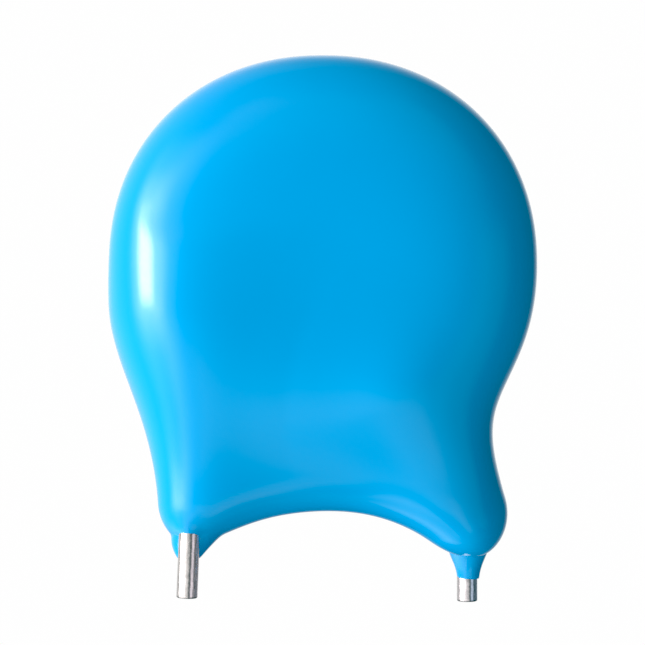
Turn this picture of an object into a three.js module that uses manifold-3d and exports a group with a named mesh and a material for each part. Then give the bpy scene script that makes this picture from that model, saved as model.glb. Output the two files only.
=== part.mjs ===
// A dipped ceramic disc capacitor for high voltage: a ceramic disc with an electrode fired on each face,
// a round lead soldered to each electrode, and one epoxy coat round all of it. The leads are cropped short.
// Millimetres, +Z up. The origin is midway between the two leads, at the height of the rear lead's cut end.
// The front lead is at -X, over the disc's -Y face. The rear lead is at +X, over its +Y face.
import * as THREE from "three";
import { mergeVertices } from "three/addons/utils/BufferGeometryUtils.js";
import Module from "manifold-3d";

const wasm = await Module();
wasm.setup();

// The leads. Each climbs from its cut end, turns inwards at its knee and crosses the disc's centre.
const leadPitch = 10; // between the two cut ends
const leadDiameter = 0.74;
const frontLeadCut = 0.51; // height of the cut end
const rearLeadCut = 0;
const frontLeadLean = 0.04; // towards +X for each millimetre it climbs, below the knee
const rearLeadLean = 0;
const kneeHeight = 4.2;
const kneeReach = 1.2; // how far the bend spreads along the lead, to each side of the knee
const leadPastCentre = 1.6;

// The disc, its electrodes and the solder.
const discDiameter = 12.8;
const discThickness = 2.4;
const discChamfer = 0.15;
const discCentreX = -0.24; // the disc sits a little off the middle of the pitch
const discCentreHeight = 12.23;
const electrodeThickness = 0.02;
const electrodeMargin = 0.7; // bare ceramic left round each electrode
const solderLength = 6.4;
const solderWidth = 2.6;
const solderOverLead = 0.2; // over the lead, at the middle of the joint
const solderPastLead = 0.5; // beyond the lead's inner end

// Clearances between pieces that are bonded in use.
const seatGap = 0.015; // from a lead to the electrode it lies on
const bondGap = 0.03; // from any other piece to what is moulded or soldered round it

// The coat's head, measured from the disc and the leads inside it.
const rimCoat = 1.23; // beyond the disc's edge, at the sides
const crownCoat = 1.02; // beyond the disc's edge, at the top
const faceCoat = 1.12; // over a lead where it crosses the disc
const outlineFullness = 2.13; // 2 would be a plain ellipse
const faceFlatness = 3.93; // 2 would be a lens; a higher value keeps the face flat further out

// The legs: each is a limb from a shoulder inside the head down to a foot round its lead. A shoulder is
// placed from the disc's centre and a foot from its lead. Deep is towards the lead's own face of the disc.
const frontShoulder = { out: 4.58, down: 2.54, deep: -0.21, radius: 2.5 };
const rearShoulder = { out: 2.76, down: 4.28, deep: -0.8, radius: 1.79 };
const frontFoot = { out: 0.2, setback: 0.87, height: 3.67, radius: 0.3 };
const rearFoot = { out: 0.03, setback: 1.23, height: 3.28, radius: 1.08 };
const taperEase = 0.3; // share of a limb over which its taper sets in, at each end

// The web of resin between the legs, with a concave lower edge.
const webThickness = 3.48;
const webRounding = 1.39; // how far above its edge it starts to thin
const archRadius = 10.65;
const archHeight = 3.44; // its highest point
const archCentreX = 0.05;

// How far the surface takes to turn from one form into the next.
const headBlend = 1.9;
const webBlend = 3.92;
const webEndBlend = 3.36; // at each foot
const webTopBlend = 1; // inside the head
const legBlend = 0.5;

// The tail of resin that has run down each lead, from its top inside the foot. The rear one goes all round
// its lead. The front one hangs behind its lead, towards the disc's plane, and leaves the lead's front
// bare. An inset is how far a tail's middle lies behind its lead, a shift how far it lies outwards from it.
const tailLip = 0.07; // thickness of the resin at its very end
const frontTail = { end: 1.88, top: 2.95, topCoat: 0.66, sideCoat: 0.4, sideHeight: 2.3 };
const frontTailInset = { end: 0.12, top: 0.9, swing: 0.5 };
const frontTailShift = { end: 0, top: -0.44 }; // its top lies towards the arch
const rearTail = { end: 0.82, top: 2.3, topCoat: 0.58, sideCoat: 0.1, sideHeight: 1.5 };
const rearTailInset = { end: 0, top: 0.45, swing: 2 };
const rearTailShift = { end: 0.04, top: 0.03 };

// How finely round shapes are cut.
const coatDetail = 17;
const coatSmoothing = 12;
const discSides = 64;
const leadSides = 8;
const leadSteps = 18;
const solderSides = 16;
const tailSides = 24;
const tailRings = 8;

// What follows from them.
const leadRadius = leadDiameter / 2;
const discRadius = discDiameter / 2;
const electrodeFace = discThickness / 2 + electrodeThickness; // from the disc's middle plane
const leadDepth = electrodeFace + seatGap + leadRadius;
const headHalfWidth = discRadius + rimCoat;
const headHalfHeight = discRadius + crownCoat;
const headHalfDepth = leadDepth + leadRadius + faceCoat;
const discCentre = new THREE.Vector3(discCentreX, 0, discCentreHeight);

const front = { side: -1, cut: frontLeadCut, lean: frontLeadLean };
const rear = { side: 1, cut: rearLeadCut, lean: rearLeadLean };

// Where a lead's axis is at a height below its knee.
function leadAxis(lead, height) {
  const x = (lead.side * leadPitch) / 2 + lead.lean * (height - lead.cut);
  return new THREE.Vector3(x, lead.side * leadDepth, height);
}

// Solids: a three.js geometry as a manifold-3d solid, and back.
function weld(geometry) {
  geometry.deleteAttribute("normal");
  geometry.deleteAttribute("uv");
  return mergeVertices(geometry);
}

function solidOf(geometry) {
  const welded = weld(geometry);
  return new wasm.Manifold(
    new wasm.Mesh({
      numProp: 3,
      vertProperties: new Float32Array(welded.attributes.position.array),
      triVerts: new Uint32Array(welded.index.array),
    }),
  );
}

function geometryOf(solid) {
  const mesh = solid.getMesh();
  const geometry = new THREE.BufferGeometry();
  geometry.setAttribute("position", new THREE.BufferAttribute(mesh.vertProperties, 3));
  geometry.setIndex(new THREE.BufferAttribute(mesh.triVerts, 1));
  geometry.computeVertexNormals();
  return geometry;
}

// Signed distances: how far a point lies outside a form, below zero inside it.
function smoothMin(a, b, reach) {
  const share = Math.max(reach - Math.abs(a - b), 0) / reach;
  return Math.min(a, b) - (share ** 3 * reach) / 6;
}

const smoothMax = (a, b, reach) => -smoothMin(-a, -b, reach);

function headDistance(p) {
  const across = Math.abs(p.x - discCentre.x) / headHalfWidth;
  const up = Math.abs(p.z - discCentre.z) / headHalfHeight;
  const rim = (across ** outlineFullness + up ** outlineFullness) ** (1 / outlineFullness);
  return headHalfDepth * (Math.hypot(rim ** (faceFlatness / 2), p.y / headHalfDepth) - 1);
}

// A round limb that tapers from one ball to another.
function limbDistance(p, limb) {
  const along = limb.end.clone().sub(limb.start);
  const reach = p.clone().sub(limb.start).dot(along) / along.lengthSq();
  const nearest = limb.start.clone().addScaledVector(along, THREE.MathUtils.clamp(reach, 0, 1));
  const taper = smoothMax(smoothMin(reach, 1, taperEase), 0, taperEase);
  return p.distanceTo(nearest) - THREE.MathUtils.lerp(limb.startRadius, limb.endRadius, taper);
}

function legLimb(lead, shoulder, foot) {
  return {
    start: new THREE.Vector3(
      discCentre.x + lead.side * shoulder.out,
      lead.side * shoulder.deep,
      discCentre.z - shoulder.down,
    ),
    end: new THREE.Vector3(
      lead.side * (leadPitch / 2 + foot.out),
      lead.side * (leadDepth - foot.setback),
      foot.height,
    ),
    startRadius: shoulder.radius,
    endRadius: foot.radius,
  };
}

const frontLeg = legLimb(front, frontShoulder, frontFoot);
const rearLeg = legLimb(rear, rearShoulder, rearFoot);

// A sheet from one foot to the other, with a round edge along the arch.
function webDistance(p) {
  const half = webThickness / 2;
  const middleX = (frontLeg.end.x + rearLeg.end.x) / 2;
  const halfSpan = (rearLeg.end.x - frontLeg.end.x) / 2;
  const along = (p.x - frontLeg.end.x) / (rearLeg.end.x - frontLeg.end.x);
  const middleY = THREE.MathUtils.lerp(frontLeg.end.y, rearLeg.end.y, along);
  const belowArch = archRadius - Math.hypot(p.x - archCentreX, p.z - (archHeight - archRadius));
  const thinning = Math.max(belowArch + webRounding, 0) / webRounding;
  const sheet = half * (Math.hypot(thinning, (p.y - middleY) / half) - 1);
  const inSpan = smoothMax(sheet, Math.abs(p.x - middleX) - halfSpan, webEndBlend);
  return smoothMax(inSpan, p.z - discCentre.z, webTopBlend);
}

function bodyDistance(p) {
  const legs = smoothMin(limbDistance(p, frontLeg), limbDistance(p, rearLeg), legBlend);
  return smoothMin(headDistance(p), smoothMin(legs, webDistance(p), webBlend), headBlend);
}

// Moves a point on to the surface, straight down the slope of the distance.
function settle(p) {
  const step = 1e-3;
  const slope = new THREE.Vector3();
  for (let pass = 0; pass < 2; pass++) {
    const here = bodyDistance(p);
    for (const axis of ["x", "y", "z"]) {
      const ahead = p.clone();
      ahead[axis] += step;
      slope[axis] = (bodyDistance(ahead) - here) / step;
    }
    p.addScaledVector(slope, -here / slope.lengthSq());
  }
}

// The coat's main body: a ball whose points are moved out along their own rays to the surface, and then
// spread more evenly over it.
function bodyGeometry() {
  const heart = new THREE.Vector3(discCentre.x, 0, (discCentre.z + archHeight) / 2);
  const furthest = discCentre.z + headHalfHeight;
  const ball = weld(new THREE.IcosahedronGeometry(1, coatDetail));
  const position = ball.attributes.position;
  const points = [];
  for (let i = 0; i < position.count; i++) {
    const ray = new THREE.Vector3().fromBufferAttribute(position, i);
    ray.set(ray.x * headHalfWidth, ray.y * headHalfDepth, ray.z * headHalfHeight).normalize();
    let inside = 0;
    let outside = furthest;
    while (outside - inside > 1e-3) {
      const middle = (inside + outside) / 2;
      if (bodyDistance(heart.clone().addScaledVector(ray, middle)) < 0) inside = middle;
      else outside = middle;
    }
    points.push(heart.clone().addScaledVector(ray, inside));
  }

  const neighbours = points.map(() => new Set());
  const corners = ball.index.array;
  for (let i = 0; i < corners.length; i += 3) {
    for (let j = 0; j < 3; j++) {
      neighbours[corners[i + j]].add(corners[i + ((j + 1) % 3)]);
    }
  }
  for (let round = 0; round < coatSmoothing; round++) {
    const middles = neighbours.map((around) => {
      const middle = new THREE.Vector3();
      for (const i of around) middle.add(points[i]);
      return middle.divideScalar(around.size);
    });
    for (const middle of middles) settle(middle);
    points.splice(0, points.length, ...middles);
  }
  points.forEach((point, i) => position.setXYZ(i, point.x, point.y, point.z));
  return ball;
}

// A lead's centre line. At each end it may run on a little.
function leadLine(lead, extra) {
  const cutEnd = leadAxis(lead, lead.cut);
  const knee = leadAxis(lead, kneeHeight);
  const centre = new THREE.Vector3(discCentre.x, knee.y, discCentre.z);
  const stub = knee.clone().sub(cutEnd).normalize();
  const run = centre.clone().sub(knee).normalize();
  const bendStart = knee.clone().addScaledVector(stub, -kneeReach);
  const bendEnd = knee.clone().addScaledVector(run, kneeReach);
  const line = new THREE.CurvePath();
  line.add(new THREE.LineCurve3(cutEnd.addScaledVector(stub, -extra), bendStart));
  line.add(new THREE.QuadraticBezierCurve3(bendStart, knee, bendEnd));
  line.add(new THREE.LineCurve3(bendEnd, centre.clone().addScaledVector(run, leadPastCentre + extra)));
  return { line, run, centre };
}

function leadSolid(lead, grow) {
  const section = new THREE.Shape().absarc(0, 0, leadRadius + grow, 0, 2 * Math.PI);
  const extrudePath = leadLine(lead, grow).line;
  const options = { steps: leadSteps, curveSegments: leadSides, extrudePath, bevelEnabled: false };
  return solidOf(new THREE.ExtrudeGeometry(section, options));
}

// A solder joint before its lead is cut from it: half an ellipsoid on the electrode, laid along the lead.
function solderMound(lead, grow) {
  const { run, centre } = leadLine(lead, 0);
  const height = leadDepth + leadRadius + solderOverLead - electrodeFace;
  const mound = new THREE.SphereGeometry(1, solderSides, solderSides / 2);
  mound.scale(solderWidth / 2 + grow, height + grow, solderLength / 2 + grow);
  mound.rotateY(Math.atan2(run.x, run.z));
  const middle = centre.addScaledVector(run, leadPastCentre + solderPastLead - solderLength / 2);
  mound.translate(middle.x, lead.side * electrodeFace, middle.z);
  return solidOf(mound);
}

function solderSolid(lead) {
  const overFace = new THREE.BoxGeometry(2 * discDiameter, discDiameter, 2 * discDiameter);
  overFace.translate(discCentre.x, lead.side * (electrodeFace + discRadius), discCentre.z);
  return solderMound(lead, 0).intersect(solidOf(overFace)).subtract(leadSolid(lead, bondGap));
}

// A disc with its faces square to Y, and a chamfer round both edges if it has one.
function discGeometry(radius, thickness, chamfer) {
  const half = thickness / 2;
  const edge = [new THREE.Vector2(radius, -half), new THREE.Vector2(radius, half)];
  const chamferedEdge = [
    new THREE.Vector2(radius - chamfer, -half),
    new THREE.Vector2(radius, chamfer - half),
    new THREE.Vector2(radius, half - chamfer),
    new THREE.Vector2(radius - chamfer, half),
  ];
  const side = chamfer > 0 ? chamferedEdge : edge;
  const outline = [new THREE.Vector2(0, -half), ...side, new THREE.Vector2(0, half)];
  return new THREE.LatheGeometry(outline, discSides);
}

// A tail is round in plan. Its radius follows a curve from the lip to the top, and its middle leaves the
// lead's axis on the way up: early where the swing is below 1, late where it is above.
function tailSolid(lead, tail, inset, shift) {
  const profile = new THREE.QuadraticBezierCurve(
    new THREE.Vector2(leadRadius + tailLip, tail.end),
    new THREE.Vector2(leadRadius + tail.sideCoat, tail.sideHeight),
    new THREE.Vector2(leadRadius + tail.topCoat, tail.top),
  );
  const side = profile.getPoints(tailRings);
  const outline = [new THREE.Vector2(0, tail.end), ...side, new THREE.Vector2(0, tail.top)];
  const geometry = new THREE.LatheGeometry(outline, tailSides).rotateX(Math.PI / 2);
  const position = geometry.attributes.position;
  for (let i = 0; i < position.count; i++) {
    const height = position.getZ(i);
    const share = Math.max(height - tail.end, 0) / (tail.top - tail.end);
    const centre = leadAxis(lead, height);
    centre.x += lead.side * THREE.MathUtils.lerp(shift.end, shift.top, share ** 2);
    centre.y -= lead.side * THREE.MathUtils.lerp(inset.end, inset.top, share ** inset.swing);
    position.setXY(i, position.getX(i) + centre.x, position.getY(i) + centre.y);
  }
  return solidOf(geometry);
}

function coatSolid() {
  const discRoom = discGeometry(discRadius + bondGap, 2 * (electrodeFace + bondGap), discChamfer);
  discRoom.translate(discCentre.x, 0, discCentre.z);
  let coat = solidOf(bodyGeometry())
    .add(tailSolid(front, frontTail, frontTailInset, frontTailShift))
    .add(tailSolid(rear, rearTail, rearTailInset, rearTailShift))
    .subtract(solidOf(discRoom));
  for (const lead of [front, rear]) {
    coat = coat.subtract(solderMound(lead, bondGap)).subtract(leadSolid(lead, bondGap));
  }
  return coat;
}

// Finishes.
const epoxy = new THREE.MeshStandardMaterial({ color: 0x059ee2, roughness: 0.15, metalness: 0 });
const ceramic = new THREE.MeshStandardMaterial({ color: 0xb9a488, roughness: 0.7, metalness: 0 });
const silver = new THREE.MeshStandardMaterial({ color: 0xd4d2cc, roughness: 0.45, metalness: 1 });
const solder = new THREE.MeshStandardMaterial({ color: 0xb4b6b8, roughness: 0.3, metalness: 1 });
const tinnedWire = new THREE.MeshStandardMaterial({ color: 0xc8c6c4, roughness: 0.25, metalness: 1 });

function piece(name, geometry, material) {
  const mesh = new THREE.Mesh(geometry, material);
  mesh.name = name;
  return mesh;
}

function electrode(name, side) {
  const geometry = discGeometry(discRadius - electrodeMargin, electrodeThickness, 0);
  const mesh = piece(name, geometry, silver);
  mesh.position.copy(discCentre);
  mesh.position.y = (side * (discThickness + electrodeThickness)) / 2;
  return mesh;
}

const disc = piece("ceramic_disc", discGeometry(discRadius, discThickness, discChamfer), ceramic);
disc.position.copy(discCentre);

const capacitor = new THREE.Group();
capacitor.add(
  disc,
  electrode("front_electrode", front.side),
  electrode("rear_electrode", rear.side),
  piece("front_lead", geometryOf(leadSolid(front, 0)), tinnedWire),
  piece("rear_lead", geometryOf(leadSolid(rear, 0)), tinnedWire),
  piece("front_solder_joint", geometryOf(solderSolid(front)), solder),
  piece("rear_solder_joint", geometryOf(solderSolid(rear)), solder),
  piece("epoxy_coat", geometryOf(coatSolid()), epoxy),
);

export default capacitor;
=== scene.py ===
import math

import bmesh
import bpy
import numpy as np
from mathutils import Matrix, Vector


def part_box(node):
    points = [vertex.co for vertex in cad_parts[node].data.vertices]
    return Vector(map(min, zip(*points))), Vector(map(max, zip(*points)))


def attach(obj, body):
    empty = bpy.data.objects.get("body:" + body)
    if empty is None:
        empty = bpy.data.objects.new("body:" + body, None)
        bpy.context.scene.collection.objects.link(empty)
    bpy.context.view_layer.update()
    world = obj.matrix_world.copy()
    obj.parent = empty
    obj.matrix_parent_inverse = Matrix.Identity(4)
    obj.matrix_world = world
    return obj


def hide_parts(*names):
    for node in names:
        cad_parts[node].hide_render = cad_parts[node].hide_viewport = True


# A dipped ceramic disc capacitor: the finish of the epoxy coat, the two tinned leads and the pieces inside.
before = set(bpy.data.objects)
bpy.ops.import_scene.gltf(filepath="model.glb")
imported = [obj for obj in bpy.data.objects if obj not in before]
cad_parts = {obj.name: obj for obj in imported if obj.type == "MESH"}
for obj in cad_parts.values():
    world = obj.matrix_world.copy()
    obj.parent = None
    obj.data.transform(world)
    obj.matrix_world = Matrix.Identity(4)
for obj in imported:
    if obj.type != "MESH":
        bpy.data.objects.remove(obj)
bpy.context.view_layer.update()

# Shapes are worked out in millimetres and turned into metres when a piece is made.
MM = 0.001


def box_mm(node):
    low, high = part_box(node)
    return np.array(low) / MM, np.array(high) / MM


DISC_LOW, DISC_HIGH = box_mm("ceramic_disc")
DISC_CENTRE = (DISC_LOW + DISC_HIGH) / 2

# The rear lead stands upright, so its box gives the wire's radius and how far it lies behind the middle.
REAR_LEAD_LOW, REAR_LEAD_HIGH = box_mm("rear_lead")
LEAD_RADIUS = (REAR_LEAD_HIGH[1] - REAR_LEAD_LOW[1]) / 2
LEAD_DEPTH = REAR_LEAD_HIGH[1] - LEAD_RADIUS
LEAD_PITCH = 10.0


# ---------------------------------------------------------------------------------------------------
# Camera

CAMERA_DISTANCE = 80.0
CAMERA_HEIGHT = 10.13
CAMERA_SIDE = -0.26
CAMERA_LENS = 125.2
SENSOR_WIDTH = 36.0
CLIP_NEAR = 5.0
CLIP_FAR = 10000.0


def add_camera():
    """A level camera square to the disc's front face."""
    data = bpy.data.cameras.new("camera")
    data.lens = CAMERA_LENS
    data.sensor_width = SENSOR_WIDTH
    data.clip_start = CLIP_NEAR * MM
    data.clip_end = CLIP_FAR * MM
    camera = bpy.data.objects.new("camera", data)
    camera.location = Vector((CAMERA_SIDE, -CAMERA_DISTANCE, CAMERA_HEIGHT)) * MM
    camera.rotation_euler = (math.radians(90), 0, 0)
    bpy.context.scene.collection.objects.link(camera)
    bpy.context.scene.camera = camera


add_camera()


# ---------------------------------------------------------------------------------------------------
# Form of the coat, as a distance from its surface: below zero inside it. Points are rows of x, y, z.

# Resin over the leads at the faces, over the disc's rim at its sides and over its top.
FACE_COAT = 1.12
RIM_COAT = 1.23
CROWN_COAT = 1.02
# A fullness of 2 gives a plain ellipse. More of it fills the corners and flattens the faces.
OUTLINE_FULLNESS = 2.13
FACE_FLATNESS = 3.93
HEAD_HALF_WIDTH = (DISC_HIGH[0] - DISC_LOW[0]) / 2 + RIM_COAT
HEAD_HALF_HEIGHT = (DISC_HIGH[2] - DISC_LOW[2]) / 2 + CROWN_COAT
HEAD_HALF_DEPTH = LEAD_DEPTH + LEAD_RADIUS + FACE_COAT

# The height of each lead's cut end, and how far it leans to the right for each millimetre up.
LEADS = {
    "front": {"side": -1, "cut": 0.51, "lean": 0.04},
    "rear": {"side": 1, "cut": 0.0, "lean": 0.0},
}
# A shoulder is placed from the disc's centre, a foot from its lead.
SHOULDERS = {
    "front": {"out": 4.58, "down": 2.54, "deep": -0.21, "radius": 2.5},
    "rear": {"out": 2.76, "down": 4.28, "deep": -0.8, "radius": 1.79},
}
FEET = {
    "front": {"out": 0.2, "setback": 0.87, "height": 3.67, "radius": 0.3},
    "rear": {"out": 0.03, "setback": 1.23, "height": 3.28, "radius": 1.08},
}
TAPER_EASE = 0.3

# The web between the legs, thin at its lower edge, which is an arch.
WEB_THICKNESS = 3.48
WEB_ROUNDING = 1.39
ARCH_RADIUS = 10.65
ARCH_HEIGHT = 3.44
ARCH_CENTRE_X = 0.05

# How far round a joint between two forms its fillet reaches.
HEAD_BLEND = 1.9
WEB_BLEND = 3.92
WEB_END_BLEND = 3.36
WEB_TOP_BLEND = 1.0
LEG_BLEND = 0.5
TAIL_BLEND = 0.12

# A tail of resin runs down each lead from its foot and ends in a thin lip. "end" and "top" are heights. The
# coats are its thickness over the lead at its top and, as the curve's middle point, at "side_height". Its
# middle is inset from the lead's towards the disc, and shifted outwards.
TAIL_LIP = 0.03
LIP_ROUNDING = 0.05
TOP_ROUNDING = 0.3
TAILS = {
    "front": {
        "end": 1.88, "top": 2.95, "top_coat": 0.66, "side_coat": 0.4, "side_height": 2.3,
        "inset_end": 0.12, "inset_top": 0.9, "swing": 0.5, "shift_end": 0.0, "shift_top": -0.44,
    },
    "rear": {
        "end": 0.82, "top": 2.3, "top_coat": 0.58, "side_coat": 0.10, "side_height": 1.5,
        "inset_end": 0.0, "inset_top": 0.45, "swing": 2.0, "shift_end": 0.04, "shift_top": 0.03,
    },
}
# A sleeve closes over the lead above its tail. "from" and "to" are heights on the lead.
SLEEVES = {
    "front": {"from": 3.06, "to": 3.6, "coat": 0.07, "blend": 0.25},
    "rear": {"from": 1.9, "to": 3.4, "coat": 0.16, "blend": 0.45},
}

# How a mesh's points are moved on to the surface.
SLOPE_STEP = 1e-3
LEAST_SLOPE = 0.05
LONGEST_MOVE = 0.2


def smooth_min(a, b, reach):
    """The lesser of two distances, with a fillet where they meet."""
    share = np.maximum(reach - np.abs(a - b), 0) / reach
    return np.minimum(a, b) - share**3 * reach / 6


def smooth_max(a, b, reach):
    return -smooth_min(-a, -b, reach)


def head(points):
    """The round head over the disc: a full ellipse in outline with flattish faces."""
    across = np.abs(points[:, 0] - DISC_CENTRE[0]) / HEAD_HALF_WIDTH
    up = np.abs(points[:, 2] - DISC_CENTRE[2]) / HEAD_HALF_HEIGHT
    rim = (across**OUTLINE_FULLNESS + up**OUTLINE_FULLNESS) ** (1 / OUTLINE_FULLNESS)
    deep = points[:, 1] / HEAD_HALF_DEPTH
    return HEAD_HALF_DEPTH * (np.hypot(rim ** (FACE_FLATNESS / 2), deep) - 1)


def shoulder_centre(name):
    side = LEADS[name]["side"]
    shape = SHOULDERS[name]
    return DISC_CENTRE + np.array([side * shape["out"], side * shape["deep"], -shape["down"]])


def foot_centre(name):
    side = LEADS[name]["side"]
    shape = FEET[name]
    x = side * (LEAD_PITCH / 2 + shape["out"])
    y = side * (LEAD_DEPTH - shape["setback"])
    return np.array([x, y, shape["height"]])


def leg(points, name):
    """A leg that tapers from its shoulder to its foot, round all along."""
    start = shoulder_centre(name)
    along = foot_centre(name) - start
    reach = (points - start) @ along / (along @ along)
    nearest = start + np.clip(reach, 0, 1)[:, None] * along
    taper = smooth_max(smooth_min(reach, 1, TAPER_EASE), 0, TAPER_EASE)
    start_radius = SHOULDERS[name]["radius"]
    radius = start_radius + taper * (FEET[name]["radius"] - start_radius)
    return np.linalg.norm(points - nearest, axis=1) - radius


def web(points):
    """The sheet of resin between the legs, down to the arch."""
    front_foot = foot_centre("front")
    rear_foot = foot_centre("rear")
    half = WEB_THICKNESS / 2
    middle_x = (front_foot[0] + rear_foot[0]) / 2
    half_span = (rear_foot[0] - front_foot[0]) / 2
    along = (points[:, 0] - front_foot[0]) / (2 * half_span)
    middle_y = front_foot[1] + along * (rear_foot[1] - front_foot[1])
    arch_centre_z = ARCH_HEIGHT - ARCH_RADIUS
    below_arch = ARCH_RADIUS - np.hypot(points[:, 0] - ARCH_CENTRE_X, points[:, 2] - arch_centre_z)
    thinning = np.maximum(below_arch + WEB_ROUNDING, 0) / WEB_ROUNDING
    sheet = half * (np.hypot(thinning, (points[:, 1] - middle_y) / half) - 1)
    in_span = smooth_max(sheet, np.abs(points[:, 0] - middle_x) - half_span, WEB_END_BLEND)
    return smooth_max(in_span, points[:, 2] - DISC_CENTRE[2], WEB_TOP_BLEND)


def body(points):
    legs = smooth_min(leg(points, "front"), leg(points, "rear"), LEG_BLEND)
    return smooth_min(head(points), smooth_min(legs, web(points), WEB_BLEND), HEAD_BLEND)


def lead_axis(name, height):
    """Where the middle of a lead is at a height, as x and y."""
    lead = LEADS[name]
    x = lead["side"] * LEAD_PITCH / 2 + lead["lean"] * (height - lead["cut"])
    return x, lead["side"] * LEAD_DEPTH


def tail_radius(shape, height):
    """A tail's radius at a height, on a quadratic curve from its lip to its top."""
    bend = shape["end"] - 2 * shape["side_height"] + shape["top"]
    start = 2 * (shape["side_height"] - shape["end"])
    curve = (-start + np.sqrt(start**2 + 4 * bend * (height - shape["end"]))) / (2 * bend)
    return LEAD_RADIUS + (
        (1 - curve) ** 2 * TAIL_LIP
        + 2 * curve * (1 - curve) * shape["side_coat"]
        + curve**2 * shape["top_coat"]
    )


def tail(points, name):
    """The resin run down a lead: round in plan, swinging away from the lead towards its top."""
    shape = TAILS[name]
    side = LEADS[name]["side"]
    height = np.clip(points[:, 2], shape["end"], shape["top"])
    share = (height - shape["end"]) / (shape["top"] - shape["end"])
    axis_x, axis_y = lead_axis(name, height)
    inset = shape["inset_end"] + (shape["inset_top"] - shape["inset_end"]) * share ** shape["swing"]
    shift = shape["shift_end"] + (shape["shift_top"] - shape["shift_end"]) * share**2
    away_x = points[:, 0] - (axis_x + side * shift)
    away_y = points[:, 1] - (axis_y - side * inset)
    around = np.hypot(away_x, away_y) - tail_radius(shape, height)
    above_lip = smooth_max(around, shape["end"] - points[:, 2], LIP_ROUNDING)
    return smooth_max(above_lip, points[:, 2] - shape["top"], TOP_ROUNDING)


def sleeve(points, name):
    """Resin that closes round a lead where it goes up into its foot."""
    shape = SLEEVES[name]
    height = np.clip(points[:, 2], shape["from"], shape["to"])
    axis_x, axis_y = lead_axis(name, shape["from"])
    away = np.hypot(points[:, 0] - axis_x, points[:, 1] - axis_y)
    return np.hypot(away, points[:, 2] - height) - (LEAD_RADIUS + shape["coat"])


def coat(points):
    """The whole coat: body, sleeves and tails."""
    front_foot = smooth_min(body(points), sleeve(points, "front"), SLEEVES["front"]["blend"])
    rear_tail = smooth_min(tail(points, "rear"), sleeve(points, "rear"), SLEEVES["rear"]["blend"])
    tails = np.minimum(tail(points, "front"), rear_tail)
    return smooth_min(front_foot, tails, TAIL_BLEND)


def slope(points, distance):
    """How the distance changes along x, y and z at each point."""
    steps = SLOPE_STEP * np.eye(3)
    changes = [distance(points + step) - distance(points - step) for step in steps]
    return np.stack(changes, axis=1) / (2 * SLOPE_STEP)


def settle(points, distance, passes):
    """Moves the points on to the surface, straight down the slope of the distance."""
    for _ in range(passes):
        gradient = slope(points, distance)
        steepness = np.maximum((gradient**2).sum(axis=1), LEAST_SLOPE)
        move = np.clip(distance(points) / steepness, -LONGEST_MOVE, LONGEST_MOVE)
        points = points - move[:, None] * gradient
    return points


# ---------------------------------------------------------------------------------------------------
# Mesh helpers


def settle_mesh(bm, distance, passes):
    """Moves a bmesh's points on to a surface."""
    points = settle(np.array([vert.co for vert in bm.verts]), distance, passes)
    for vert, point in zip(bm.verts, points):
        vert.co = point


def finish_mesh(bm, name, smooth=True):
    """Turns a bmesh in millimetres into a linked object in metres."""
    bmesh.ops.scale(bm, vec=Vector((MM, MM, MM)), verts=bm.verts)
    mesh = bpy.data.meshes.new(name)
    bm.to_mesh(mesh)
    bm.free()
    for face in mesh.polygons:
        face.use_smooth = smooth
    piece = bpy.data.objects.new(name, mesh)
    bpy.context.scene.collection.objects.link(piece)
    return piece


def remeshed(bm, voxel):
    """One even skin over all the closed shapes in a bmesh."""
    mesh = bpy.data.meshes.new("blank")
    bm.to_mesh(mesh)
    bm.free()
    blank = bpy.data.objects.new("blank", mesh)
    bpy.context.scene.collection.objects.link(blank)
    remesh = blank.modifiers.new("skin", "REMESH")
    remesh.mode = "VOXEL"
    remesh.voxel_size = voxel
    depsgraph = bpy.context.evaluated_depsgraph_get()
    skin = bmesh.new()
    skin.from_mesh(blank.evaluated_get(depsgraph).to_mesh())
    bpy.data.objects.remove(blank)
    bpy.data.meshes.remove(mesh)
    return skin


# ---------------------------------------------------------------------------------------------------
# The coat

# How far apart the coat's points are, and how many times they are evened out.
COAT_VOXEL = 0.11
EVENING_ROUNDS = 14
# The rough shapes that the skin is made from.
BALL_SUBDIVISIONS = 6
RAY_HALVINGS = 24
CONE_SEGMENTS = 48
CONE_PAST_LIP = 0.1
CONE_LIP_COAT = 0.12


def ball_on_body(bm):
    """An even ball whose points are moved out along their own rays to the body's surface."""
    made = bmesh.ops.create_icosphere(bm, subdivisions=BALL_SUBDIVISIONS, radius=1.0)
    rays = np.array([vert.co for vert in made["verts"]])
    rays = rays * (HEAD_HALF_WIDTH, HEAD_HALF_DEPTH, HEAD_HALF_HEIGHT)
    rays = rays / np.linalg.norm(rays, axis=1, keepdims=True)
    heart = np.array([DISC_CENTRE[0], 0, (DISC_CENTRE[2] + ARCH_HEIGHT) / 2])
    inside = np.zeros(len(rays))
    outside = np.full(len(rays), 2 * HEAD_HALF_HEIGHT)
    for _ in range(RAY_HALVINGS):
        middle = (inside + outside) / 2
        within = body(heart + rays * middle[:, None]) < 0
        inside = np.where(within, middle, inside)
        outside = np.where(within, outside, middle)
    for vert, point in zip(made["verts"], heart + rays * inside[:, None]):
        vert.co = point


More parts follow.
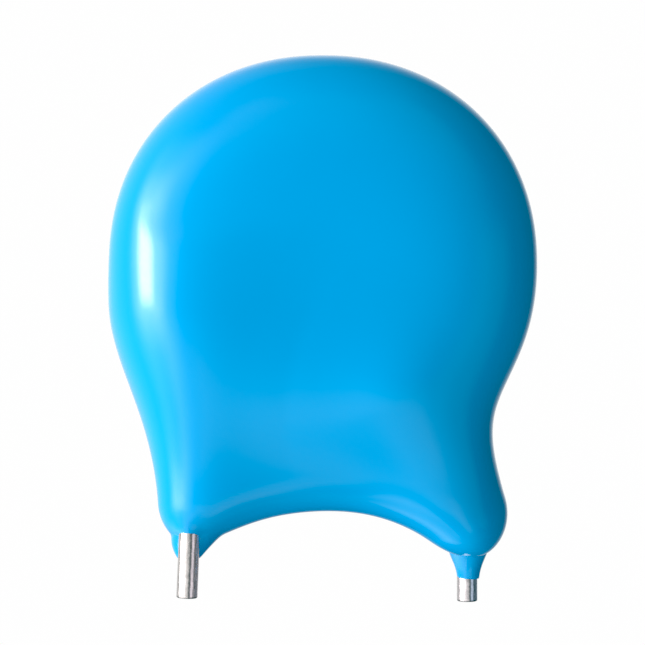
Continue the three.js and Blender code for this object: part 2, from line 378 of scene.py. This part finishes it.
def cone_on_lead(bm, name):
    """A rough tail, a little over size, from inside the foot to just past the tail's lip."""
    shape = TAILS[name]
    side = LEADS[name]["side"]
    length = shape["top"] - shape["end"] + CONE_PAST_LIP
    made = bmesh.ops.create_cone(
        bm, cap_ends=True, segments=CONE_SEGMENTS, depth=length,
        radius1=LEAD_RADIUS + CONE_LIP_COAT, radius2=LEAD_RADIUS + shape["top_coat"],
    )
    axis_x, axis_y = lead_axis(name, shape["end"])
    lower = np.array([axis_x + side * shape["shift_end"], axis_y - side * shape["inset_end"]])
    upper = np.array([axis_x + side * shape["shift_top"], axis_y - side * shape["inset_top"]])
    for vert in made["verts"]:
        share = vert.co.z / length + 0.5
        x, y = lower + (upper - lower) * share
        vert.co.x += x
        vert.co.y += y
        vert.co.z += (shape["top"] + shape["end"]) / 2


def make_coat():
    """One even skin over rough shapes, settled on to the coat's surface and evened along it in turns."""
    blank = bmesh.new()
    ball_on_body(blank)
    for name in LEADS:
        cone_on_lead(blank, name)
    skin = remeshed(blank, COAT_VOXEL)
    settle_mesh(skin, coat, passes=6)
    for _ in range(EVENING_ROUNDS):
        bmesh.ops.smooth_vert(
            skin, verts=skin.verts, factor=0.5, use_axis_x=True, use_axis_y=True, use_axis_z=True,
        )
        settle_mesh(skin, coat, passes=1)
    settle_mesh(skin, coat, passes=2)
    return finish_mesh(skin, "poured_coat")


# ---------------------------------------------------------------------------------------------------
# The leads

WIRE_SEGMENTS = 48
STRAIGHT_RINGS = 24
KNEE_RINGS = 12
KNEE_HEIGHT = 4.2
KNEE_REACH = 1.2
LEAD_PAST_CENTRE = 1.6
CUT_ROUNDING = 0.06
CUT_SEGMENTS = 4


def lead_route(name):
    """The lead's centre line from its cut end, close together where it shows and through its knee."""
    cut = LEADS[name]["cut"]
    start = Vector((*lead_axis(name, cut), cut))
    knee = Vector((*lead_axis(name, KNEE_HEIGHT), KNEE_HEIGHT))
    centre = Vector((DISC_CENTRE[0], knee.y, DISC_CENTRE[2]))
    run = (centre - knee).normalized()
    bend_start = knee + (start - knee).normalized() * KNEE_REACH
    bend_end = knee + run * KNEE_REACH
    route = [start.lerp(bend_start, i / STRAIGHT_RINGS) for i in range(STRAIGHT_RINGS)]
    for i in range(KNEE_RINGS + 1):
        share = i / KNEE_RINGS
        route.append(bend_start.lerp(knee, share).lerp(knee.lerp(bend_end, share), share))
    route.append(centre + run * LEAD_PAST_CENTRE)
    return route


def turn_ring(bm, ring, centre, heading, onward):
    """Turns a ring of points from one heading to the next."""
    turn = heading.rotation_difference(onward).to_matrix()
    bmesh.ops.rotate(bm, cent=centre, matrix=turn, verts=ring)


def grow_ring(bm, edges, move):
    """Draws a ring of edges out to a new ring, and gives the new ring's points and edges."""
    grown = bmesh.ops.extrude_edge_only(bm, edges=edges)["geom"]
    ring = [item for item in grown if isinstance(item, bmesh.types.BMVert)]
    bmesh.ops.translate(bm, vec=move, verts=ring)
    fresh = set(ring)
    new_edges = [
        item for item in grown
        if isinstance(item, bmesh.types.BMEdge) and all(vert in fresh for vert in item.verts)
    ]
    return ring, new_edges


def make_lead(name):
    """A round wire drawn along its route ring by ring, with its cut end broken."""
    route = lead_route(name)
    bm = bmesh.new()
    heading = (route[1] - route[0]).normalized()
    ring = bmesh.ops.create_circle(bm, segments=WIRE_SEGMENTS, radius=LEAD_RADIUS)["verts"]
    turn_ring(bm, ring, (0, 0, 0), Vector((0, 0, 1)), heading)
    bmesh.ops.translate(bm, vec=route[0], verts=ring)
    cut_edges = bm.edges[:]
    edges = cut_edges
    for i in range(1, len(route)):
        ring, edges = grow_ring(bm, edges, route[i] - route[i - 1])
        if i + 1 < len(route):
            onward = (route[i + 1] - route[i]).normalized()
            turn_ring(bm, ring, route[i], heading, onward)
            heading = onward
    for rim in (cut_edges, edges):
        bmesh.ops.edgeloop_fill(bm, edges=rim)
    bmesh.ops.recalc_face_normals(bm, faces=bm.faces)
    bmesh.ops.bevel(
        bm, geom=cut_edges, offset=CUT_ROUNDING, offset_type="OFFSET", segments=CUT_SEGMENTS,
        profile=0.5, affect="EDGES", material=-1,
    )
    return finish_mesh(bm, f"{name}_wire")


# ---------------------------------------------------------------------------------------------------
# Shader helpers


def feed(tree, socket, value):
    """Links a socket to another node's output, or sets it to a plain value."""
    if isinstance(value, bpy.types.NodeSocket):
        tree.links.new(value, socket)
    else:
        socket.default_value = value


def math_node(tree, operation, *inputs):
    node = tree.nodes.new("ShaderNodeMath")
    node.operation = operation
    for socket, value in zip(node.inputs, inputs):
        feed(tree, socket, value)
    return node.outputs[0]


def ramp_node(tree, value, low, high, to_low=0.0, to_high=1.0):
    """A soft step from one level to another as the value goes from low to high."""
    node = tree.nodes.new("ShaderNodeMapRange")
    node.interpolation_type = "SMOOTHSTEP"
    tree.links.new(value, node.inputs["Value"])
    for socket, number in zip(("From Min", "From Max", "To Min", "To Max"), (low, high, to_low, to_high)):
        node.inputs[socket].default_value = number
    return node.outputs["Result"]


def noise_node(tree, position, scale, detail=2.0):
    node = tree.nodes.new("ShaderNodeTexNoise")
    for socket, value in (("Vector", position), ("Scale", scale), ("Detail", detail)):
        feed(tree, node.inputs[socket], value)
    return node.outputs["Fac"]


def new_group(name, inputs, outputs):
    """An empty shader node group with its sockets. An input whose default is None is a vector."""
    tree = bpy.data.node_groups.new(name, "ShaderNodeTree")
    for socket_name, default in inputs.items():
        kind = "NodeSocketVector" if default is None else "NodeSocketFloat"
        socket = tree.interface.new_socket(socket_name, in_out="INPUT", socket_type=kind)
        if default is not None:
            socket.default_value = default
    for socket_name in outputs:
        tree.interface.new_socket(socket_name, in_out="OUTPUT", socket_type="NodeSocketFloat")
    return tree, tree.nodes.new("NodeGroupInput").outputs, tree.nodes.new("NodeGroupOutput").inputs


def place_group(tree, group, **values):
    node = tree.nodes.new("ShaderNodeGroup")
    node.node_tree = group
    for name, value in values.items():
        feed(tree, node.inputs[name], value)
    return node.outputs


def tone_drift_group():
    """A slow cloudy change of tone, 1 on average, for casting colour and fired or tinned metal."""
    sockets = {"Position": None, "Scale": 300.0, "Amount": 0.05}
    tree, given, result = new_group("tone_drift", sockets, ["Tone"])
    noise = noise_node(tree, given["Position"], given["Scale"], detail=3.0)
    either_way = math_node(tree, "MULTIPLY", math_node(tree, "SUBTRACT", noise, 0.5), 2.0)
    swing = math_node(tree, "MULTIPLY", either_way, given["Amount"])
    tree.links.new(math_node(tree, "ADD", swing, 1.0), result["Tone"])
    return tree


def surface_grain_group():
    """Fine unevenness with a coarse swell under it, as a height from 0 to 1."""
    sockets = {"Position": None, "Swell Scale": 400.0, "Grain Scale": 6000.0, "Grain Share": 0.2}
    tree, given, result = new_group("surface_grain", sockets, ["Height"])
    swell = noise_node(tree, given["Position"], given["Swell Scale"], detail=1.0)
    grain = noise_node(tree, given["Position"], given["Grain Scale"], detail=2.0)
    share = given["Grain Share"]
    smooth_part = math_node(tree, "MULTIPLY", swell, math_node(tree, "SUBTRACT", 1.0, share))
    height = math_node(tree, "ADD", smooth_part, math_node(tree, "MULTIPLY", grain, share))
    tree.links.new(height, result["Height"])
    return tree


TONE_DRIFT = tone_drift_group()
SURFACE_GRAIN = surface_grain_group()


# ---------------------------------------------------------------------------------------------------
# Materials

EPOXY_BLUE = (0.0005, 0.270, 0.585)
# Painted reflection on the tin: a warm grey on the left of each lead and a cool one on its right, and where
# one turns into the other.
TIN_GREYS_AND_PAINTED_REFLECTION = {
    "front": ((0.86, 0.81, 0.79), (0.93, 0.82, 0.88)),
    "rear": ((0.86, 0.80, 0.81), (0.56, 0.64, 0.80)),
}
PAINTED_REFLECTION_TURN = (0.1, 0.4)
# Dark streaks of reflection painted along the wire, placed across it in its radii: from -1 at the left edge
# to 1 at the right. The first is painted shade along the left edge.
PAINTED_REFLECTION_STREAKS = (
    {"where": -0.96, "core": 0.10, "edge": 0.30, "depth": 0.36},
    {"where": -0.78, "core": 0.01, "edge": 0.10, "depth": 0.40},
    {"where": 0.25, "core": 0.03, "edge": 0.16, "depth": 0.65},
    {"where": 0.62, "core": 0.02, "edge": 0.13, "depth": 0.50},
)
# How the painted streaks wander along the wire, and how their edges fray.
LINE_WANDER = {"scale": 1.3, "amount": 0.16}
LINE_FRAY = {"scale": 9.0, "amount": 0.14}
# Painted shade at the nipped edge of the cut: from dark to bright between these heights in radii.
CUT_SHADE = {"height": (0.08, 0.24), "tone": 0.35}
# Grain and tone are drawn out along the wire.
ALONG_WIRE = (1, 1, 0.12)
CERAMIC_TAN = (0.52, 0.38, 0.24)
CERAMIC_GRAIN = (0.30, 0.20, 0.12)
SILVER_WHITE = (0.86, 0.85, 0.82)
SOLDER_GREY = (0.72, 0.72, 0.73)


def new_material(name):
    """A material with its node tree, its shader's inputs and the position on the piece."""
    material = bpy.data.materials.new(name)
    material.use_nodes = True
    tree = material.node_tree
    position = tree.nodes.new("ShaderNodeTexCoord").outputs["Object"]
    return material, tree, tree.nodes["Principled BSDF"].inputs, position


def stretched(tree, position, scale):
    node = tree.nodes.new("ShaderNodeMapping")
    tree.links.new(position, node.inputs["Vector"])
    node.inputs["Scale"].default_value = scale
    return node.outputs["Vector"]


def feed_colour(tree, socket, colour):
    """Gives a socket a colour of its own, or one that already varies."""
    feed(tree, socket, colour if isinstance(colour, bpy.types.NodeSocket) else (*colour, 1))


def toned_colour(tree, colour, tone):
    """A colour made lighter and darker by a tone that is 1 on average."""
    node = tree.nodes.new("ShaderNodeHueSaturation")
    feed_colour(tree, node.inputs["Color"], colour)
    tree.links.new(tone, node.inputs["Value"])
    return node.outputs["Color"]


def blended_colour(tree, share, first, second):
    """From one colour to another."""
    node = tree.nodes.new("ShaderNodeMix")
    node.data_type = "RGBA"
    tree.links.new(share, node.inputs["Factor"])
    inlets = [socket for socket in node.inputs if socket.type == "RGBA"]
    for socket, colour in zip(inlets, (first, second)):
        feed_colour(tree, socket, colour)
    return next(socket for socket in node.outputs if socket.type == "RGBA")


def raised(tree, height, depth):
    """The normal of a surface whose height varies by this depth in metres."""
    node = tree.nodes.new("ShaderNodeBump")
    node.inputs["Strength"].default_value = 1.0
    node.inputs["Distance"].default_value = depth
    tree.links.new(height, node.inputs["Height"])
    return node.outputs["Normal"]


def grain_height(tree, position, swell, grain, share):
    sizes = {"Swell Scale": swell, "Grain Scale": grain, "Grain Share": share}
    return place_group(tree, SURFACE_GRAIN, Position=position, **sizes)["Height"]


def poured_epoxy():
    """Sky-blue casting resin: glassy, a little cloudy, with the slightest swell left by dipping."""
    material, tree, shader, position = new_material("poured_epoxy")
    shader["Roughness"].default_value = 0.05
    shader["IOR"].default_value = 1.425
    tone = place_group(tree, TONE_DRIFT, Position=position, Scale=260.0, Amount=0.03)["Tone"]
    tree.links.new(toned_colour(tree, EPOXY_BLUE, tone), shader["Base Color"])
    height = grain_height(tree, position, swell=420.0, grain=2600.0, share=0.06)
    tree.links.new(raised(tree, height, 3e-6), shader["Normal"])
    return material


def on_wire(tree, position, name):
    """Position on a lead, from its cut end, in wire radii: x across it, z along it."""
    lead = LEADS[name]
    node = tree.nodes.new("ShaderNodeMapping")
    node.vector_type = "TEXTURE"
    tree.links.new(position, node.inputs["Vector"])
    node.inputs["Location"].default_value = Vector((*lead_axis(name, lead["cut"]), lead["cut"])) * MM
    node.inputs["Rotation"].default_value = (0, math.atan(lead["lean"]), 0)
    node.inputs["Scale"].default_value = (LEAD_RADIUS * MM,) * 3
    return node.outputs["Vector"]


def painted_streak_and_cut_shade(tree, local):
    """The place across a lead, which wanders and frays, and the tone there from the painted dark reflection
    streaks and the painted shade at the cut.
    """
    split = tree.nodes.new("ShaderNodeSeparateXYZ")
    tree.links.new(local, split.inputs[0])
    across = split.outputs[0]
    for unevenness in (LINE_WANDER, LINE_FRAY):
        noise = math_node(tree, "SUBTRACT", noise_node(tree, local, unevenness["scale"]), 0.5)
        aside = math_node(tree, "MULTIPLY", noise, unevenness["amount"])
        across = math_node(tree, "ADD", across, aside)
    tone = None
    for line in PAINTED_REFLECTION_STREAKS:
        away = math_node(tree, "ABSOLUTE", math_node(tree, "SUBTRACT", across, line["where"]))
        shade = ramp_node(tree, away, line["core"], line["edge"], to_low=1 - line["depth"])
        tone = shade if tone is None else math_node(tree, "MULTIPLY", tone, shade)
    cut = ramp_node(tree, split.outputs[2], *CUT_SHADE["height"], to_low=CUT_SHADE["tone"])
    return across, math_node(tree, "MULTIPLY", tone, cut)


def drawn_tin(name):
    """Tinned wire: painted dark reflection streaks along it, painted shade at the cut, frosted patches, and
    a warm grey on the left and a cool one on the right as painted reflection.
    """
    material, tree, shader, position = new_material(f"{name}_drawn_tin")
    shader["Metallic"].default_value = 1.0
    local = on_wire(tree, position, name)
    along = stretched(tree, local, scale=ALONG_WIRE)
    across, painted_streaks = painted_streak_and_cut_shade(tree, local)
    drift = place_group(tree, TONE_DRIFT, Position=along, Scale=3.0, Amount=0.35)["Tone"]
    # The wire's grey with its painted reflection: warm on the left, cool on the right.
    grey = blended_colour(tree, ramp_node(tree, across, *PAINTED_REFLECTION_TURN), *TIN_GREYS_AND_PAINTED_REFLECTION[name])
    # This tone carries the painted streaks and the painted cut shade as well as the random drift.
    tone = math_node(tree, "MULTIPLY", painted_streaks, drift)
    tree.links.new(toned_colour(tree, grey, tone), shader["Base Color"])
    patches = noise_node(tree, local, 1.2, detail=3.0)
    frosting = ramp_node(tree, patches, 0.40, 0.62, to_low=0.24, to_high=0.36)
    tree.links.new(frosting, shader["Roughness"])
    grain = grain_height(tree, along, swell=1.6, grain=9.0, share=0.3)
    tree.links.new(raised(tree, grain, 12e-6), shader["Normal"])
    return material


def fired_ceramic():
    """Pressed and fired titanate: matt tan body, darker grain and faint mottling."""
    material, tree, shader, position = new_material("fired_ceramic")
    tone = place_group(tree, TONE_DRIFT, Position=position, Scale=500.0, Amount=0.12)["Tone"]
    specks = noise_node(tree, position, 9000.0, detail=2.0)
    tan = toned_colour(tree, CERAMIC_TAN, tone)
    speckled = blended_colour(tree, ramp_node(tree, specks, 0.60, 0.70), tan, CERAMIC_GRAIN)
    tree.links.new(speckled, shader["Base Color"])
    smoother = ramp_node(tree, specks, 0.3, 0.7, to_low=0.62, to_high=0.48)
    tree.links.new(smoother, shader["Roughness"])
    height = grain_height(tree, position, swell=400.0, grain=12000.0, share=0.6)
    tree.links.new(raised(tree, height, 6e-6), shader["Normal"])
    return material


def fired_silver():
    """Silver paste fired on the disc: a matt white metal with the print's fine grain."""
    material, tree, shader, position = new_material("fired_silver")
    shader["Metallic"].default_value = 1.0
    tone = place_group(tree, TONE_DRIFT, Position=position, Scale=700.0, Amount=0.08)["Tone"]
    tree.links.new(toned_colour(tree, SILVER_WHITE, tone), shader["Base Color"])
    grain = noise_node(tree, position, 14000.0, detail=2.0)
    tree.links.new(ramp_node(tree, grain, 0.3, 0.7, to_low=0.34, to_high=0.5), shader["Roughness"])
    height = grain_height(tree, position, swell=400.0, grain=14000.0, share=0.7)
    tree.links.new(raised(tree, height, 4e-6), shader["Normal"])
    return material


def soft_solder():
    """Solder that froze bright, with frosted crystals in patches."""
    material, tree, shader, position = new_material("soft_solder")
    shader["Metallic"].default_value = 1.0
    tone = place_group(tree, TONE_DRIFT, Position=position, Scale=900.0, Amount=0.15)["Tone"]
    tree.links.new(toned_colour(tree, SOLDER_GREY, tone), shader["Base Color"])
    crystals = tree.nodes.new("ShaderNodeTexVoronoi")
    crystals.inputs["Scale"].default_value = 3200.0
    tree.links.new(position, crystals.inputs["Vector"])
    frost = ramp_node(tree, crystals.outputs["Distance"], 0.1, 0.7, to_low=0.14, to_high=0.38)
    tree.links.new(frost, shader["Roughness"])
    height = grain_height(tree, position, swell=900.0, grain=6000.0, share=0.25)
    tree.links.new(raised(tree, height, 12e-6), shader["Normal"])
    return material


# ---------------------------------------------------------------------------------------------------
# Build

EPOXY = poured_epoxy()
CERAMIC = fired_ceramic()
SILVER = fired_silver()
SOLDER = soft_solder()

FINISHES = {
    "epoxy_coat": EPOXY,
    "front_lead": drawn_tin("front"),
    "rear_lead": drawn_tin("rear"),
    "ceramic_disc": CERAMIC,
    "front_electrode": SILVER,
    "rear_electrode": SILVER,
    "front_solder_joint": SOLDER,
    "rear_solder_joint": SOLDER,
}


def dress(piece, node):
    """Gives a piece its finish and the body that it rides on, and hides the CAD node that it stands for."""
    piece.data.materials.append(FINISHES[node])
    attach(piece, "root")
    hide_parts(node)


dress(make_coat(), "epoxy_coat")
for lead_name in LEADS:
    dress(make_lead(lead_name), f"{lead_name}_lead")

for node_name, finish in FINISHES.items():
    for material_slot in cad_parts[node_name].material_slots:
        material_slot.material = finish


# ---------------------------------------------------------------------------------------------------
# Stage and light

FLOOR_RADIUS = 250.0
FLOOR_BELOW = 60.0
FLOOR_SEGMENTS = 96
PALE = 0.995
# The view drops red as faint as this, which a blue so clean can't show.
FAINTEST_RED = 0.035
HALF_TURN = 180.0
DEGREES = HALF_TURN / math.pi

# Soft cards round the object. Angles are in degrees: "around" is counted from the camera, with the left
# below zero, and "height" from the horizon. "soft" is the width of a card's edge. A level of 1 is as
# bright as the white backdrop.
STUDIO = {
    "room": {"around": (-150, -25), "height": (-40, 50), "soft": 60, "level": 0.92},
    "lamp": {"around": (-79, -64), "height": (2, 15), "soft": 10, "level": 17.0},
    "lamp_rim": {"around": (-84, -52), "height": (-8, 22), "soft": 20, "level": 5.68},
    "lamp_glow": {"around": (-88, -38), "height": (-22, 34), "soft": 26, "level": 1.92},
    "behind_left": {"around": (-215, -130), "height": (-30, 40), "soft": 30, "level": 0.27},
    "behind": {"around": (152, 208), "height": (-10, 45), "soft": 40, "level": 0.8},
    "front_left": {"around": (-55, -5), "height": (-40, -10), "soft": 24, "level": 0.96},
    "front": {"around": (-30, 55), "height": (-20, 30), "soft": 30, "level": 0.22},
    "front_right": {"around": (40, 75), "height": (-35, 10), "soft": 20, "level": 0.78},
    "front_low": {"around": (-10, 40), "height": (-60, -20), "soft": 30, "level": 1.43},
    "low_left": {"around": (-140, -20), "height": (-75, -35), "soft": 30, "level": 2.14},
    "low_right": {"around": (20, 90), "height": (-80, -40), "soft": 30, "level": 0.35},
    "top_front": {"around": (-40, 60), "height": (25, 60), "soft": 25, "level": 0.57},
    "top_left": {"around": (-170, 0), "height": (25, 75), "soft": 50, "level": 0.28},
    "right": {"around": (80, 170), "height": (-40, 40), "soft": 40, "level": 0.16},
    "top_right": {"around": (30, 110), "height": (30, 80), "soft": 30, "level": 0.09},
}
# The ceiling brightens upwards, and the floor's two glows brighten downwards.
CEILING = {"height": (25, 75), "level": 0.53}
FLOOR_GLOW = {"height": (-75, -35), "level": 0.22}
FLOOR_SPOT = {"height": (-88, -62), "level": 0.4}


def card(tree, around, height, spec):
    """How much of a soft-edged card lies in a direction."""
    share = None
    for angle, (low, high) in ((around, spec["around"]), (height, spec["height"])):
        off_centre = math_node(tree, "SUBTRACT", angle, (low + high) / 2)
        away = math_node(tree, "ABSOLUTE", math_node(tree, "WRAP", off_centre, HALF_TURN, -HALF_TURN))
        half = (high - low) / 2
        edge = spec["soft"] / 2
        within = ramp_node(tree, away, half - edge, half + edge, to_low=1.0, to_high=0.0)
        share = within if share is None else math_node(tree, "MULTIPLY", share, within)
    return share


def look_angles(tree):
    """Which way a ray goes: degrees round from the camera, and degrees up from the horizon."""
    split = tree.nodes.new("ShaderNodeSeparateXYZ")
    tree.links.new(tree.nodes.new("ShaderNodeTexCoord").outputs["Generated"], split.inputs[0])
    x, y, z = split.outputs
    towards = math_node(tree, "MULTIPLY", y, -1.0)
    around = math_node(tree, "MULTIPLY", math_node(tree, "ARCTAN2", x, towards), DEGREES)
    height = math_node(tree, "MULTIPLY", math_node(tree, "ARCSINE", z), DEGREES)
    return around, height


def studio_level(tree):
    """How bright the studio is in each direction: ceiling, floor and all the cards added up."""
    around, height = look_angles(tree)
    level = ramp_node(tree, height, *CEILING["height"], to_low=0.0, to_high=CEILING["level"])
    for glow in (FLOOR_GLOW, FLOOR_SPOT):
        below = ramp_node(tree, height, *glow["height"], to_low=glow["level"], to_high=0.0)
        level = math_node(tree, "ADD", level, below)
    for spec in STUDIO.values():
        lit = math_node(tree, "MULTIPLY", card(tree, around, height, spec), spec["level"])
        level = math_node(tree, "ADD", level, lit)
    return level


def background_node(tree, level):
    node = tree.nodes.new("ShaderNodeBackground")
    node.inputs["Color"].default_value = (1, 1, 1, 1)
    feed(tree, node.inputs["Strength"], level)
    return node.outputs[0]


def add_world():
    """The studio: plain white to the camera, and all its cards to everything else."""
    world = bpy.data.worlds.new("studio")
    bpy.context.scene.world = world
    world.use_nodes = True
    tree = world.node_tree
    tree.nodes.clear()
    mix = tree.nodes.new("ShaderNodeMixShader")
    tree.links.new(tree.nodes.new("ShaderNodeLightPath").outputs["Is Camera Ray"], mix.inputs["Fac"])
    tree.links.new(background_node(tree, studio_level(tree)), mix.inputs[1])
    tree.links.new(background_node(tree, PALE), mix.inputs[2])
    tree.links.new(mix.outputs[0], tree.nodes.new("ShaderNodeOutputWorld").inputs["Surface"])


def pale_ground():
    """A ground as white as the backdrop, whatever the light on it."""
    material = bpy.data.materials.new("pale_ground")
    material.use_nodes = True
    tree = material.node_tree
    tree.nodes.clear()
    white = tree.nodes.new("ShaderNodeEmission")
    white.inputs["Color"].default_value = (1, 1, 1, 1)
    white.inputs["Strength"].default_value = PALE
    tree.links.new(white.outputs[0], tree.nodes.new("ShaderNodeOutputMaterial").inputs["Surface"])
    return material


def add_floor():
    """A round floor, well under the leads and out of the reflections."""
    bm = bmesh.new()
    bmesh.ops.create_circle(bm, cap_ends=True, segments=FLOOR_SEGMENTS, radius=FLOOR_RADIUS)
    bmesh.ops.translate(bm, vec=(0, 0, -FLOOR_BELOW), verts=bm.verts)
    floor = finish_mesh(bm, "pale_floor", smooth=False)
    floor.data.materials.append(pale_ground())
    for ray in ("diffuse", "glossy", "transmission", "volume_scatter", "shadow"):
        setattr(floor, f"visible_{ray}", False)


def set_view():
    """Plain contrast, with the faintest red dropped."""
    view = bpy.context.scene.view_settings
    view.view_transform = "Standard"
    view.use_curve_mapping = True
    view.curve_mapping.black_level = (FAINTEST_RED, 0, 0)
    view.curve_mapping.update()


add_world()
add_floor()
set_view()
